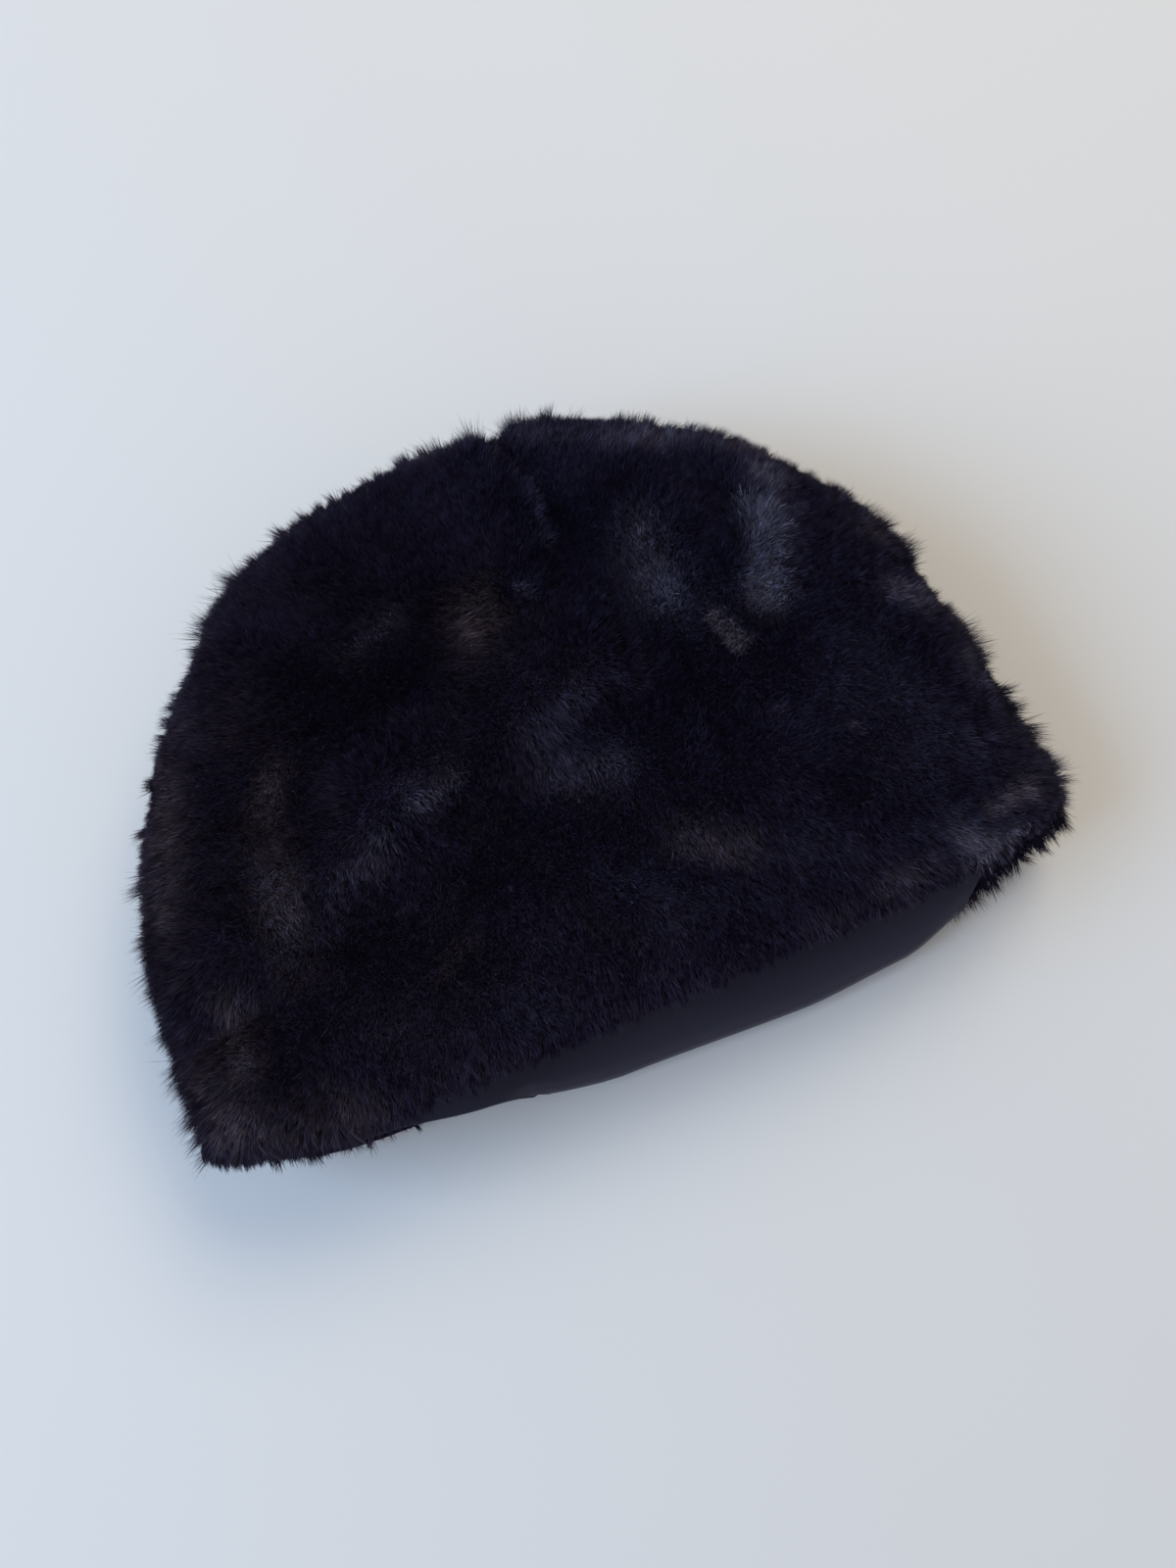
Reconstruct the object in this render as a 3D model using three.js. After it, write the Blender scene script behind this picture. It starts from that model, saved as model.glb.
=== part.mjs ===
// Black deep-pile cap lying on its side: a crown of four pile gores and a smooth bag lining.
// Millimetres. x runs along the rim, y from the rim to the crown, z up from the surface it lies on.
import * as THREE from "three";

// Driving dimensions
const pileTop = 10;
const pileSide = 9;
const pileUnder = 6.5;
const pressedHeight = 4;
const backingWall = 2;
const seamGap = 0.3;
const liningWall = 1.2;
const liningRoom = 2;
const rimRoom = 1.6;
const hemRound = 8;
const meridianLength = 290;
const rimHalfWidth = 140;
const centreX = 5.5;
const centreY = 81;

// Grid of locks on each gore
const rowCount = 21;
const columnCount = 12;
const hemRow = 0.012;
const lockRaise = 2.4;
const lockSpread = 1.2;
const lockLean = 0.013;
const lockSink = 1;
const shortestPile = 0.6;

// The backing in plan, a row for each section from the rim to the crown
const plan = [
  { leftX: -134, leftY: -1, rightX: 146, rightY: -2, seamX: -1, topY: -8, underY: -15 },
  { leftX: -133, leftY: 29, rightX: 142, rightY: 28, seamX: 4, topY: 23, underY: 20 },
  { leftX: -130, leftY: 59, rightX: 138, rightY: 58, seamX: 9, topY: 51, underY: 50 },
  { leftX: -123, leftY: 87, rightX: 132, rightY: 84, seamX: 14, topY: 79, underY: 79 },
  { leftX: -108, leftY: 117, rightX: 123, rightY: 109, seamX: 20, topY: 106, underY: 104 },
  { leftX: -85, leftY: 144, rightX: 108, rightY: 130, seamX: 27, topY: 129, underY: 126 },
  { leftX: -61, leftY: 163, rightX: 86, rightY: 149, seamX: 30, topY: 146, underY: 144 },
  { leftX: -36, leftY: 174, rightX: 65, rightY: 163, seamX: 28, topY: 160, underY: 159 },
  { leftX: -6, leftY: 178, rightX: 46, rightY: 172, seamX: 26, topY: 171, underY: 170 },
  { leftX: 25, leftY: 176, rightX: 25, rightY: 176, seamX: 25, topY: 176, underY: 176 },
];

// Heights of the backing at the side edges and the seams, for the same sections
const heights = [
  { side: 27, top: 48, under: 5 },
  { side: 29, top: 60, under: 2 },
  { side: 31, top: 67, under: 0 },
  { side: 32, top: 70, under: 0 },
  { side: 34, top: 69, under: 1 },
  { side: 35, top: 65, under: 4 },
  { side: 36, top: 59, under: 9 },
  { side: 37, top: 52, under: 16 },
  { side: 37, top: 45, under: 26 },
  { side: 37, top: 37, under: 37 },
];

// How square the sections are, across and upwards
const upperSection = { across: 0.82, up: 0.85 };
const underSection = { across: 0.75, up: 0.72 };
const rimBow = 6;
const crownBow = 2;

// Where the pile turns straight out at the crown, how fast it changes from the upper wall
// to the under one at the side edges, and its shortest share at the hem
const crownFrom = 0.9;
const sideBlend = 1.6;
const hemShare = 0.15;

// Folds and swells of the upper wall, each a soft ridge (lift over 0) or dent between two places
const folds = [
  { name: "thin crease by the left edge", x0: -132, y0: 74, x1: -100, y1: 68, width: 8, lift: -5 },
  { name: "nook in the left edge", x0: -142, y0: 29, x1: -108, y1: 36, width: 9, lift: -6 },
  { name: "swell above the nook", x0: -122, y0: 50, x1: -112, y1: 60, width: 20, lift: 5 },
  { name: "swell at the left corner", x0: -126, y0: 10, x1: -118, y1: 20, width: 15, lift: 4 },
  { name: "low end of the long ridge", x0: -72, y0: 66, x1: -45, y1: 78, width: 14, lift: 4 },
  { name: "long ridge", x0: -45, y0: 78, x1: 22, y1: 92, width: 13, lift: 5 },
  { name: "hollow behind the long ridge", x0: -80, y0: 82, x1: -20, y1: 102, width: 13, lift: -4 },
  { name: "hollow before the long ridge", x0: -70, y0: 46, x1: 0, y1: 60, width: 16, lift: -4 },
  { name: "swell left of the seam", x0: 2, y0: 105, x1: 8, y1: 128, width: 14, lift: 4 },
  { name: "hollow right of the seam", x0: 38, y0: 118, x1: 44, y1: 82, width: 15, lift: -6 },
  { name: "swell by the crown", x0: 60, y0: 140, x1: 66, y1: 122, width: 13, lift: 4 },
  { name: "dent between two swells", x0: 72, y0: 146, x1: 76, y1: 118, width: 9, lift: -4 },
  { name: "ridge by the right shoulder", x0: 84, y0: 142, x1: 86, y1: 112, width: 11, lift: 5 },
  { name: "swell near the rim", x0: 45, y0: 45, x1: 62, y1: 43, width: 16, lift: 4 },
  { name: "crease over the right edge", x0: 128, y0: 98, x1: 146, y1: 86, width: 9, lift: -5 },
  { name: "low crease over the right edge", x0: 138, y0: 66, x1: 152, y1: 60, width: 9, lift: -4 },
];

// The four gores lie between seams numbered round the cap: 0 right, 1 top, 2 left, 3 under
const gores = [
  { name: "gore_top_right", from: 0 },
  { name: "gore_top_left", from: 1 },
  { name: "gore_under_left", from: 2 },
  { name: "gore_under_right", from: 3 },
];

// How far the pile dips at each seam, at the rim and at the crown
const seamDips = [
  { rim: 0.8, crown: 4 },
  { rim: 1.5, crown: 5 },
  { rim: 0.8, crown: 4 },
  { rim: 0, crown: 4 },
];

// How far the lining comes out over the under hem, along the rim
const lipReach = [
  { x: -150, reach: 2.5 },
  { x: -88, reach: 2.5 },
  { x: -57, reach: 6.5 },
  { x: -11, reach: 13 },
  { x: 55, reach: 15.5 },
  { x: 88, reach: 13.5 },
  { x: 110, reach: 8.5 },
  { x: 124, reach: 2.5 },
  { x: 160, reach: 2.5 },
];
const lipRows = 8;
const lipRadius = 2.6;
const lipRollFrom = 7.5;
const lipRollOver = 4;
const lipReturn = 4.5;

// Share of the way to the crown over which the lining loosens, and that sets the lip's direction
const looseOver = 0.14;
const lipAim = 0.03;

const furPaint = new THREE.MeshStandardMaterial({ color: 0x0d0b10, roughness: 0.85, metalness: 0 });
const liningPaint = new THREE.MeshStandardMaterial({ color: 0x1d1f2a, roughness: 0.5, metalness: 0 });

// Value of one column at a share t of the way through a table, on a smooth curve through its rows
function along(rows, column, t) {
  const last = rows.length - 1;
  const place = THREE.MathUtils.clamp(t, 0, 1) * last;
  const i = Math.min(Math.floor(place), last - 1);
  const f = place - i;
  const b = rows[i][column];
  const c = rows[i + 1][column];
  const a = i > 0 ? rows[i - 1][column] : 2 * b - c;
  const d = i < last - 1 ? rows[i + 2][column] : 2 * c - b;
  const linear = c - a;
  const square = 2 * a - 5 * b + 4 * c - d;
  const cube = 3 * b - a - 3 * c + d;
  return 0.5 * (2 * b + linear * f + square * f * f + cube * f * f * f);
}

// Height that the folds give a place of the upper wall
function foldLift(x, y) {
  let total = 0;
  for (const fold of folds) {
    const dx = fold.x1 - fold.x0;
    const dy = fold.y1 - fold.y0;
    const share = ((x - fold.x0) * dx + (y - fold.y0) * dy) / (dx * dx + dy * dy);
    const f = THREE.MathUtils.clamp(share, 0, 1);
    const away = Math.hypot(x - fold.x0 - f * dx, y - fold.y0 - f * dy);
    total += fold.lift * Math.exp(-((away / fold.width) ** 2));
  }
  return total;
}

// Place on the backing before folds: t from rim to crown, ring round the cap, inset towards the hollow
function backing(t, ring, inset = 0) {
  const angle = (ring * Math.PI) / 2;
  const cos = Math.abs(Math.cos(angle));
  const sin = Math.abs(Math.sin(angle));
  const upper = Math.sin(angle) >= 0;
  const right = Math.cos(angle) >= 0;
  const section = upper ? upperSection : underSection;
  const seamX = along(plan, "seamX", t);
  const edgeX = along(plan, right ? "rightX" : "leftX", t);
  const edgeY = along(plan, right ? "rightY" : "leftY", t);
  const seamY = along(plan, upper ? "topY" : "underY", t);
  const sideZ = along(heights, "side", t);
  const topZ = along(heights, "top", t);
  const underZ = along(heights, "under", t);
  const bow = rimBow + (crownBow - rimBow) * Math.min(1, 3 * t);
  const x = seamX + (edgeX - seamX) * cos ** section.across;
  const y = seamY + (edgeY - seamY) * cos ** bow;
  const seamZ = upper ? topZ : underZ;
  const z = Math.max(sideZ + (seamZ - sideZ) * sin ** section.up, pressedHeight);
  const halfHeight = Math.max((topZ - underZ) / 2, 0.5);
  const crownY = plan.at(-1).topY;
  return new THREE.Vector3(
    seamX + (x - seamX) * (1 - inset / rimHalfWidth),
    y - inset * (Math.max(y, 0) / crownY) ** 2,
    sideZ + (z - sideZ) * Math.max(1 - inset / halfHeight, 0),
  );
}

// Direction that the pile stands in: square to the backing, and straight out at the crown
function pileDirection(t, ring) {
  const step = 0.01;
  const middle = THREE.MathUtils.clamp(t, step, 1 - 3 * step);
  const up = backing(middle + step, ring).sub(backing(middle - step, ring));
  const round = backing(middle, ring + step).sub(backing(middle, ring - step));
  const direction = up.cross(round).normalize();
  return direction.lerp(new THREE.Vector3(0, 1, 0), crownShare(t)).normalize();
}

function crownShare(t) {
  return THREE.MathUtils.smoothstep(t, crownFrom, 1);
}

// Share of the fold lift that a place takes: all of it on the upper wall, none underneath
function upperShare(ring) {
  return THREE.MathUtils.clamp(sideBlend * Math.sin((ring * Math.PI) / 2), 0, 1);
}

function pileDepth(t, ring) {
  const sin = Math.sin((ring * Math.PI) / 2);
  const upper = pileSide + (pileTop - pileSide) * sin;
  const under = pileSide + (pileUnder - pileSide) * Math.min(1, -sideBlend * sin);
  const depth = sin >= 0 ? upper : under;
  const fromHem = Math.min(1, (t * meridianLength) / hemRound);
  const rounded = Math.max(hemShare, Math.sqrt(1 - (1 - fromHem) ** 2));
  return (depth + (pileSide - depth) * crownShare(t)) * rounded;
}

// Place at a height over the backing, with the folds, and never below the surface it lies on
function furPoint(t, ring, height) {
  const root = backing(t, ring);
  const point = root.clone().addScaledVector(pileDirection(t, ring), height);
  point.z += foldLift(root.x, root.y) * upperShare(ring);
  point.z = Math.max(point.z, 0);
  return point;
}

function rowAt(i) {
  return i === 0 ? 0 : hemRow + ((1 - hemRow) * (i - 1)) / (rowCount - 1);
}

// Collects triangles, and turns them into one mesh
class Shell {
  constructor() {
    this.points = [];
    this.faces = [];
  }
  point(p) {
    this.points.push(p.x - centreX, p.y - centreY, p.z);
    return this.points.length / 3 - 1;
  }
  triangle(a, b, c) {
    this.faces.push(a, b, c);
  }
  quad(a, b, c, d) {
    this.triangle(a, b, c);
    this.triangle(a, c, d);
  }
  mesh(name, material) {
    const geometry = new THREE.BufferGeometry();
    geometry.setAttribute("position", new THREE.Float32BufferAttribute(this.points, 3));
    geometry.setIndex(this.faces);
    geometry.computeVertexNormals();
    const mesh = new THREE.Mesh(geometry, material);
    mesh.name = name;
    return mesh;
  }
}

// One gore: locks of pile outside, the smooth back of the cloth inside, closed along its edges
function makeGore({ name, from }) {
  const shell = new Shell();
  const pile = [];
  const back = [];
  for (let i = 0; i < rowCount; i++) {
    const t = rowAt(i);
    const seamStart = furPoint(t, from, 0);
    const seamEnd = furPoint(t, from + 1, 0);
    const trim = seamGap / 2 / seamStart.distanceTo(seamEnd);
    pile.push([]);
    back.push([]);
    for (let j = 0; j <= columnCount; j++) {
      const share = j / columnCount;
      const ring = from + trim + (1 - 2 * trim) * share;
      const atSeam = j === 0 || j === columnCount;
      const seam = seamDips[(from + (j === 0 ? 0 : 1)) % 4];
      const dip = atSeam ? seam.rim + (seam.crown - seam.rim) * t * t : lockSink;
      const loose = atSeam || i === 0 ? 0 : (THREE.MathUtils.seededRandom() - 0.5) * lockSpread;
      const height = Math.max(pileDepth(t, ring) - dip + loose, shortestPile);
      pile[i].push(shell.point(furPoint(t, ring, height)));
      back[i].push(shell.point(furPoint(t, ring, -backingWall)));
    }
  }

  // The tip of the gore stands a hair's breadth off the crown point, so that the four never meet
  const aside = furPoint(crownFrom, from + 0.5, 0).sub(furPoint(1, from + 0.5, 0));
  aside.y = 0;
  aside.setLength(seamGap);
  const crownDip = seamDips[1].crown;
  const pileTip = shell.point(furPoint(1, from + 0.5, pileSide - crownDip).add(aside));
  const backTip = shell.point(furPoint(1, from + 0.5, -backingWall).add(aside));

  for (let i = 0; i < rowCount - 1; i++) {
    for (let j = 0; j < columnCount; j++) {
      const corners = [pile[i][j], pile[i + 1][j], pile[i + 1][j + 1], pile[i][j + 1]];
      const ring = from + (j + 0.5) / columnCount;
      const middle = (rowAt(i) + rowAt(i + 1)) / 2;
      const raise = lockRaise * (0.6 + 0.8 * THREE.MathUtils.seededRandom());
      const tuft = furPoint(middle - lockLean, ring, pileDepth(middle, ring) - lockSink + raise);
      if (tuft.z > 0 && i > 0) {
        const apex = shell.point(tuft);
        for (let k = 0; k < 4; k++) {
          shell.triangle(corners[k], corners[(k + 1) % 4], apex);
        }
      } else {
        shell.quad(...corners);
      }
      shell.quad(back[i][j], back[i][j + 1], back[i + 1][j + 1], back[i + 1][j]);
    }
    shell.quad(pile[i][0], back[i][0], back[i + 1][0], pile[i + 1][0]);
    const end = columnCount;
    shell.quad(pile[i][end], pile[i + 1][end], back[i + 1][end], back[i][end]);
  }

  const last = rowCount - 1;
  for (let j = 0; j < columnCount; j++) {
    shell.quad(pile[0][j], pile[0][j + 1], back[0][j + 1], back[0][j]);
    shell.triangle(pile[last][j], pileTip, pile[last][j + 1]);
    shell.triangle(back[last][j], back[last][j + 1], backTip);
  }
  const end = columnCount;
  shell.quad(pile[last][0], back[last][0], backTip, pileTip);
  shell.quad(pile[last][end], pileTip, backTip, back[last][end]);
  return shell.mesh(name, furPaint);
}

// How far the lining reaches out at a place along the rim
function reachAt(x) {
  const i = Math.max(lipReach.findIndex((row) => row.x > x), 1);
  const before = lipReach[i - 1];
  const after = lipReach[i];
  const share = THREE.MathUtils.smoothstep(x, before.x, after.x);
  const straight = (x - before.x) / (after.x - before.x);
  return before.reach + (after.reach - before.reach) * (0.5 * share + 0.5 * straight);
}

// Middle of the lining's wall inside the hollow, close to the gores at the rim and looser within
function liningPoint(t, ring) {
  const loose = THREE.MathUtils.smoothstep(t, 0, looseOver);
  const room = rimRoom + (liningRoom - rimRoom) * loose;
  const inset = backingWall + room + liningWall / 2;
  const point = backing(t, ring, inset);
  const root = backing(t, ring);
  point.z += foldLift(root.x, root.y) * upperShare(ring);
  return point;
}

// The lip: straight out of the hollow, over the under hem, down in a roll and back under itself
function lipPoint(ring, share) {
  const start = liningPoint(hemRow, ring);
  const outward = start.clone().sub(liningPoint(hemRow + lipAim, ring)).normalize();
  const down = pileDirection(hemRow, ring);
  const under = Math.sin((ring * Math.PI) / 2) < 0;
  const reach = under ? reachAt(start.x) : lipReach[0].reach;
  const rolled = THREE.MathUtils.smoothstep(reach, lipRollFrom, lipRollFrom + lipRollOver);
  const turn = Math.PI * rolled;
  const straight = reach - lipRadius * Math.sin(Math.min(turn, Math.PI / 2));
  const back = lipReturn * rolled * rolled;
  const walked = share * (straight + lipRadius * turn + back);
  const turned = THREE.MathUtils.clamp((walked - straight) / lipRadius, 0, turn);
  const returned = Math.max(walked - straight - lipRadius * turn, 0);
  const out = Math.min(walked, straight) + lipRadius * Math.sin(turned) + returned * Math.cos(turn);
  const drop = lipRadius * (1 - Math.cos(turned));
  return start.addScaledVector(outward, out).addScaledVector(down, drop);
}

// The lining: one bag, its wall laid evenly to both sides of a middle sheet
function makeLining() {
  const shell = new Shell();
  const around = 4 * columnCount;
  const sheet = [];
  for (let k = lipRows; k > 0; k--) {
    sheet.push(ringOf(around, (ring) => lipPoint(ring, k / lipRows)));
  }
  for (let i = 1; i < rowCount; i++) {
    sheet.push(ringOf(around, (ring) => liningPoint(rowAt(i), ring)));
  }
  const pole = liningPoint(1, 1);
  const outside = [];
  const inside = [];
  for (let i = 0; i < sheet.length; i++) {
    outside.push([]);
    inside.push([]);
    for (let j = 0; j < around; j++) {
      const above = i < sheet.length - 1 ? sheet[i + 1][j] : pole;
      const below = sheet[Math.max(i - 1, 0)][j];
      const next = sheet[i][(j + 1) % around];
      const previous = sheet[i][(j + around - 1) % around];
      const rise = above.clone().sub(below);
      const normal = rise.cross(next.clone().sub(previous)).setLength(liningWall / 2);
      outside[i].push(shell.point(sheet[i][j].clone().add(normal)));
      inside[i].push(shell.point(sheet[i][j].clone().sub(normal)));
    }
  }
  const last = sheet.length - 1;
  const half = new THREE.Vector3(0, liningWall / 2, 0);
  const outsidePole = shell.point(pole.clone().add(half));
  const insidePole = shell.point(pole.clone().sub(half));
  for (let j = 0; j < around; j++) {
    const k = (j + 1) % around;
    for (let i = 0; i < last; i++) {
      shell.quad(outside[i][j], outside[i + 1][j], outside[i + 1][k], outside[i][k]);
      shell.quad(inside[i][j], inside[i][k], inside[i + 1][k], inside[i + 1][j]);
    }
    shell.quad(outside[0][j], outside[0][k], inside[0][k], inside[0][j]);
    shell.triangle(outside[last][j], outsidePole, outside[last][k]);
    shell.triangle(inside[last][j], inside[last][k], insidePole);
  }
  return shell.mesh("lining", liningPaint);
}

// One closed row of places round the cap
function ringOf(count, place) {
  return Array.from({ length: count }, (_, j) => place((4 * j) / count));
}

THREE.MathUtils.seededRandom(7);
const hat = new THREE.Group();
for (const gore of gores) {
  hat.add(makeGore(gore));
}
hat.add(makeLining());

export default hat;
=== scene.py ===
import bmesh
import bpy
import numpy as np
from mathutils import Matrix, Vector
from mathutils.kdtree import KDTree


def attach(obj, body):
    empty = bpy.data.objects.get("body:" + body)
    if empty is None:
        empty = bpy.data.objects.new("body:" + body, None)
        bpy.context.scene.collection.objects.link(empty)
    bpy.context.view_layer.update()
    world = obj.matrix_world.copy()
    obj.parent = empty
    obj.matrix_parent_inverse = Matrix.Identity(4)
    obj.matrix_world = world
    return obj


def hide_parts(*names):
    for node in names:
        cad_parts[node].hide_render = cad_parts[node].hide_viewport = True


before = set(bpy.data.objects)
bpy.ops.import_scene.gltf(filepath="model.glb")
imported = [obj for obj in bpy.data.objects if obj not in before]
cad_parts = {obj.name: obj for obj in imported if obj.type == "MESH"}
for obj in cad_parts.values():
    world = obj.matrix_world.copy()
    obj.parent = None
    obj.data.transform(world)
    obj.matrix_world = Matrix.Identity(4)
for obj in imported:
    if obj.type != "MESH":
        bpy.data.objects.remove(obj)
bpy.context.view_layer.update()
mm = 0.001
weld = 0.02 * mm         # corners closer than this are one
dice = np.random.default_rng(11)

# The cap's form in millimetres: x along the rim, y from the rim to the crown, z up
form = {
    "centre": (5.5, 81.0, 0.0),  # where the frame's origin lies
    "pileTop": 10.0,
    "pileSide": 9.0,
    "pileUnder": 6.5,
    "pressedHeight": 4.0,        # backing over the floor where the cap's weight presses the pile
    "backingWall": 2.0,
    "hemRound": 8.0,             # how far from the hem the pile reaches its depth
    "hemShare": 0.15,
    "meridian": 290.0,
    "rimHalfWidth": 140.0,
    "upper": (0.82, 0.85),       # how square the sections are, across and up
    "under": (0.75, 0.72),
    "rimBow": 6.0,               # how late the hem turns from the seam to the side edge
    "crownBow": 2.0,
    "bowFade": 3.0,              # from the one to the other over a third of the way up
    "thinnest": 0.5,             # half the cap's height at its end
    "crownFrom": 0.9,
    "sideBlend": 1.6,
    "topFade": 0.8,
}

# The backing from rim to crown, ten sections
plan = {
    "leftX": (-134, -133, -130, -123, -108, -85, -61, -36, -6, 25),
    "leftY": (-1, 29, 59, 87, 117, 144, 163, 174, 178, 176),
    "rightX": (146, 142, 138, 132, 123, 108, 86, 65, 46, 25),
    "rightY": (-2, 28, 58, 84, 109, 130, 149, 163, 172, 176),
    "seamX": (-1, 4, 9, 14, 20, 27, 30, 28, 26, 25),
    "topY": (-8, 23, 51, 79, 106, 129, 146, 160, 171, 176),
    "underY": (-15, 20, 50, 79, 104, 126, 144, 159, 170, 176),
    "sideZ": (27, 29, 31, 32, 34, 35, 36, 37, 37, 37),
    "topZ": (48, 60, 67, 70, 69, 65, 59, 52, 45, 37),
    "underZ": (5, 2, 0, 0, 1, 4, 9, 16, 26, 37),
}

# Folds and swells of the upper wall: from x, y to x, y, width, lift
folds = (
    (-132, 74, -100, 68, 8, -5),      # thin crease by the left edge
    (-142, 29, -108, 36, 9, -6),      # nook in the left edge
    (-122, 50, -112, 60, 20, 5),      # swell above the nook
    (-126, 10, -118, 20, 15, 4),      # swell at the left corner
    (-72, 66, -45, 78, 14, 4),        # low end of the long ridge
    (-45, 78, 22, 92, 13, 5),         # long ridge
    (-80, 82, -20, 102, 13, -4),      # hollow behind it
    (-70, 46, 0, 60, 16, -4),         # hollow before it
    (2, 105, 8, 128, 14, 4),          # swell left of the seam
    (38, 118, 44, 82, 15, -6),        # hollow right of the seam
    (60, 140, 66, 122, 13, 4),        # swell by the crown
    (72, 146, 76, 118, 9, -4),        # dent between two swells
    (84, 142, 86, 112, 11, 5),        # ridge by the right shoulder
    (45, 45, 62, 43, 16, 4),          # swell near the rim
    (128, 98, 146, 86, 9, -5),        # crease over the right edge
    (138, 66, 152, 60, 9, -4),        # low crease over the right edge
)


def along(column, t):                 # smooth curve through a column of the plan
    p = np.asarray(plan[column], float)
    p = np.concatenate([[2 * p[0] - p[1]], p, [2 * p[-1] - p[-2]]])
    place = np.clip(t, 0, 1) * (len(p) - 3)
    i = np.minimum(place.astype(int), len(p) - 4)
    f = place - i
    a, b, c, d = p[i], p[i + 1], p[i + 2], p[i + 3]
    square = 2 * a - 5 * b + 4 * c - d
    cube = 3 * b - a - 3 * c + d
    return 0.5 * (2 * b + (c - a) * f + square * f**2 + cube * f**3)


def smooth(x, low, high):
    f = np.clip((x - low) / (high - low), 0, 1)
    return f * f * (3 - 2 * f)


def unit(v):
    return v / np.maximum(np.linalg.norm(v, axis=-1, keepdims=True), 1e-9)


def awayFrom(x, y, x0, y0, x1, y1):   # distance in plan to a short line
    dx, dy = x1 - x0, y1 - y0
    f = np.clip(((x - x0) * dx + (y - y0) * dy) / (dx * dx + dy * dy), 0, 1)
    return np.hypot(x - x0 - f * dx, y - y0 - f * dy)


def foldLift(x, y):
    return sum(lift * np.exp(-((awayFrom(x, y, *ends) / width) ** 2)) for *ends, width, lift in folds)


def backing(t, ring, inset=0.0):      # ring: 0 right edge, 1 top seam, 2 left edge, 3 under seam
    angle = ring * np.pi / 2
    cos, sin = np.abs(np.cos(angle)), np.abs(np.sin(angle))
    upper, right = np.sin(angle) >= 0, np.cos(angle) >= 0
    across = np.where(upper, form["upper"][0], form["under"][0])
    rise = np.where(upper, form["upper"][1], form["under"][1])
    seamX = along("seamX", t)
    edgeX = np.where(right, along("rightX", t), along("leftX", t))
    edgeY = np.where(right, along("rightY", t), along("leftY", t))
    seamY = np.where(upper, along("topY", t), along("underY", t))
    sideZ, topZ, underZ = along("sideZ", t), along("topZ", t), along("underZ", t)
    bow = form["rimBow"] + (form["crownBow"] - form["rimBow"]) * np.minimum(1, form["bowFade"] * t)
    x = (edgeX - seamX) * cos**across
    y = seamY + (edgeY - seamY) * cos**bow
    seamZ = np.where(upper, topZ, underZ)
    z = np.maximum(sideZ + (seamZ - sideZ) * sin**rise, form["pressedHeight"])
    halfHeight = np.maximum((topZ - underZ) / 2, form["thinnest"])
    crownY = plan["topY"][-1]
    x = seamX + x * (1 - inset / form["rimHalfWidth"])
    y = y - inset * (np.maximum(y, 0) / crownY) ** 2
    z = sideZ + (z - sideZ) * np.maximum(1 - inset / halfHeight, 0)
    return np.stack([x, y, z], -1)


def crownShare(t):
    return smooth(t, form["crownFrom"], 1)


def upperShare(ring):                 # the upper wall takes the folds, the under one none
    return np.clip(form["sideBlend"] * np.sin(ring * np.pi / 2), 0, 1)


def turnedToCrown(v, t):              # straight out at the crown
    share = crownShare(t)[..., None]
    return unit(unit(v) * (1 - share) + np.array([0.0, 1.0, 0.0]) * share)


def pileWay(t, ring):
    step = 0.01
    middle = np.clip(t, step, 1 - 3 * step)
    up = backing(middle + step, ring) - backing(middle - step, ring)
    turn = backing(middle, ring + step) - backing(middle, ring - step)
    return turnedToCrown(np.cross(up, turn), t)


def pileDepth(t, ring):
    sin = np.sin(ring * np.pi / 2)
    upper = form["pileSide"] + (form["pileTop"] - form["pileSide"]) * sin
    lower = np.minimum(1, -form["sideBlend"] * sin)
    under = form["pileSide"] + (form["pileUnder"] - form["pileSide"]) * lower
    depth = np.where(sin >= 0, upper, under)
    fromHem = np.minimum(1, t * form["meridian"] / form["hemRound"])
    rounded = np.maximum(form["hemShare"], np.sqrt(1 - (1 - fromHem) ** 2))
    return (depth + (form["pileSide"] - depth) * crownShare(t)) * rounded


def furPlace(t, ring, height):        # place at a height over the backing, folds included
    root = backing(t, ring)
    p = root + np.asarray(height)[..., None] * pileWay(t, ring)
    p[..., 2] += foldLift(root[..., 0], root[..., 1]) * upperShare(ring)
    p[..., 2] = np.maximum(p[..., 2], 0)
    return p


def toFrame(p):
    return (p - np.array(form["centre"])) * mm


def waysAt(t, ring):                  # ways out of the cap, to the rim and round it
    step = 0.004
    middle = np.clip(t, step, 1 - 3 * step)
    nothing = np.zeros_like(t)
    up = furPlace(middle + step, ring, nothing) - furPlace(middle - step, ring, nothing)
    turn = furPlace(middle, ring + step, nothing) - furPlace(middle, ring - step, nothing)
    out = turnedToCrown(np.cross(up, turn), t)
    rimward = unit(-up)
    rimward = unit(rimward - (rimward * out).sum(-1, keepdims=True) * out)
    return out, rimward, np.cross(out, rimward)


def drift(p, size, seed):             # slow random change over the cap, about -1 to 1
    own = np.random.default_rng(seed)
    count, height = 8, 2.8
    waves = own.normal(size=(count, 3)) / size
    return np.sin(p @ waves.T + own.uniform(0, 2 * np.pi, count)).sum(-1) / height


def topAndSide(pair, out):            # a value that changes from the top to the upright sides
    return pair[1] + (pair[0] - pair[1]) * np.abs(out[:, 2]) ** form["topFade"]


parting = {"spread": 3.0, "from": 0.35, "full": 0.85}


def atParting(t, ring):               # the pile parts along the top seam, most by the crown
    step = 0.01
    width = np.linalg.norm(backing(t, ring + step) - backing(t, ring - step), axis=-1) / (2 * step)
    near = np.exp(-(((ring - 1) * width / parting["spread"]) ** 2))
    return near * smooth(t, parting["from"], parting["full"])


# Materials
def newMaterial(name):
    material = bpy.data.materials.new(name)
    material.use_nodes = True
    nodes, links = material.node_tree.nodes, material.node_tree.links
    return material, nodes, links, nodes["Principled BSDF"]


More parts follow.
